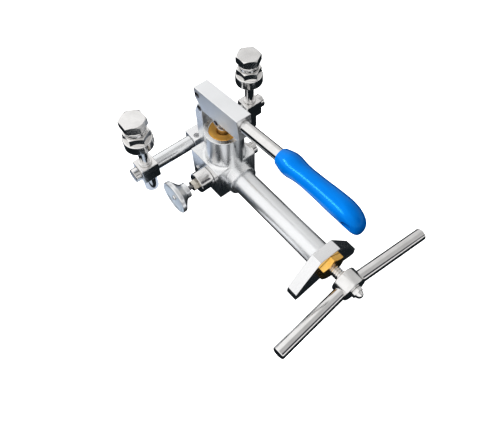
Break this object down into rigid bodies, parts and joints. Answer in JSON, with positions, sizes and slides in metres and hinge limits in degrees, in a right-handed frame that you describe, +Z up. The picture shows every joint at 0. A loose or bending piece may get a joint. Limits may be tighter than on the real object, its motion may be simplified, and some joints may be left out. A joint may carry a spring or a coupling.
{
  "type": "pneumatic pressure comparator",
  "caption": "Hand pressure comparator: lever pump, T-handle screw press with foot plate, vent valve, and upright gauge connectors with swivel nuts on a rear cross arm.",
  "frame": {"origin": "centre of the bounding box at bench level", "axes": "+X to the operator's right along the cross arm, -Y towards the operator and the T-handle, +Z up from the bench"},
  "size_m": [0.2302, 0.3248, 0.1623],
  "materials": {
    "aluminium": "satin machined, clear anodised",
    "satin_aluminium": "matt silver anodised",
    "steel": "turned and polished stainless steel",
    "nickel_brass": "nickel plated",
    "brass": "machined, bright",
    "rubber": "matt black",
    "blue_grip": "smooth dipped vinyl, glossy"
  },
  "bodies": {
    "base": {"pump_block": "aluminium", "guide_ring": "brass", "block_blind_plug": "steel", "press_tube": "satin_aluminium", "foot_plate": "aluminium", "press_nut": "brass", "manifold_block": "aluminium", "manifold_screw_left": "steel", "manifold_screw_right": "steel", "left_arm": "satin_aluminium", "right_arm": "satin_aluminium", "left_fitting": "steel", "right_fitting": "steel", "left_end_plug": "steel", "right_end_plug": "steel", "left_leg": "steel", "right_leg": "steel", "left_standpipe": "steel", "right_standpipe": "steel", "left_face_seal": "rubber", "right_face_seal": "rubber", "pivot_bracket": "aluminium", "fulcrum_pin": "steel", "vent_valve_body": "steel", "vent_gland": "nickel_brass", "check_valve_body": "steel", "check_valve_cap": "steel"},
    "pump_piston": {"pump_rod": "steel", "pump_piston": "brass", "piston_seal": "rubber", "piston_nut": "steel"},
    "lever": {"lever_bar": "satin_aluminium", "lever_rod": "steel", "lever_grip": "blue_grip", "rod_pin": "steel", "rear_pin": "steel"},
    "rocker": {"rocker_link": "steel"},
    "press_plunger": {"press_plunger": "steel", "plunger_seal_inner": "rubber", "plunger_seal_outer": "rubber"},
    "press_screw": {"press_spindle": "steel", "tee_hub": "steel", "tee_rod_left": "steel", "tee_rod_right": "steel", "hub_cap_nut": "steel"},
    "vent_needle": {"vent_needle": "steel"},
    "vent_knob": {"vent_knob": "steel", "vent_stem": "steel", "knob_screw": "steel"},
    "left_collar": {"left_collar": "steel"},
    "right_collar": {"right_collar": "steel"},
    "left_plug": {"left_plug": "steel"},
    "right_plug": {"right_plug": "steel"},
    "check_poppet": {"check_poppet": "steel"}
  },
  "joints": [
    {"name": "piston_slide", "type": "slide", "parent": "base", "child": "pump_piston", "axis": [0, 0, 1], "range_m": [0, 0.019]},
    {"name": "lever_swing", "type": "hinge", "parent": "pump_piston", "child": "lever", "pos_m": [0, 0.0855, 0.1171], "axis": [-1, 0, 0], "range_deg": [0, 30]},
    {"name": "rocker_swing", "type": "hinge", "parent": "base", "child": "rocker", "pos_m": [0, 0.12, 0.1154], "axis": [-1, 0, 0], "range_deg": [0, 17]},
    {"name": "press_travel", "type": "slide", "parent": "base", "child": "press_plunger", "axis": [0, 1, 0], "range_m": [-0.0841, 0.0046]},
    {"name": "press_turn", "type": "hinge", "parent": "press_plunger", "child": "press_screw", "pos_m": [0, -0.1409, 0.0322], "axis": [0, 1, 0], "range_deg": [-10080, 540]},
    {"name": "vent_travel", "type": "slide", "parent": "base", "child": "vent_needle", "axis": [-1, 0, 0], "range_m": [0, 0.00601]},
    {"name": "vent_turn", "type": "hinge", "parent": "vent_needle", "child": "vent_knob", "pos_m": [-0.0702, 0.0855, 0.0322], "axis": [-1, 0, 0], "range_deg": [0, 2160]},
    {"name": "poppet_lift", "type": "slide", "parent": "base", "child": "check_poppet", "axis": [1, 0, 0], "range_m": [0, 0.0015]},
    {"name": "left_collar_turn", "type": "hinge", "parent": "base", "child": "left_collar", "pos_m": [-0.0873, 0.1436, 0.0976], "axis": [0, 0, -1], "range_deg": [0, 1800]},
    {"name": "left_plug_lift", "type": "slide", "parent": "base", "child": "left_plug", "axis": [0, 0, 1], "range_m": [0, 0.00751]},
    {"name": "right_collar_turn", "type": "hinge", "parent": "base", "child": "right_collar", "pos_m": [0.0873, 0.1436, 0.0976], "axis": [0, 0, -1], "range_deg": [0, 1800]},
    {"name": "right_plug_lift", "type": "slide", "parent": "base", "child": "right_plug", "axis": [0, 0, 1], "range_m": [0, 0.00751]}
  ],
  "couplings": [
    {"joint": "piston_slide", "follows": "lever_swing", "m_per_rad": 0.036085},
    {"joint": "rocker_swing", "follows": "lever_swing", "ratio": 0.5626},
    {"joint": "press_travel", "follows": "press_turn", "m_per_rad": 0.00047746},
    {"joint": "vent_travel", "follows": "vent_turn", "m_per_rad": 0.00015915},
    {"joint": "left_plug_lift", "follows": "left_collar_turn", "m_per_rad": 0.00023873},
    {"joint": "right_plug_lift", "follows": "right_collar_turn", "m_per_rad": 0.00023873}
  ]
}
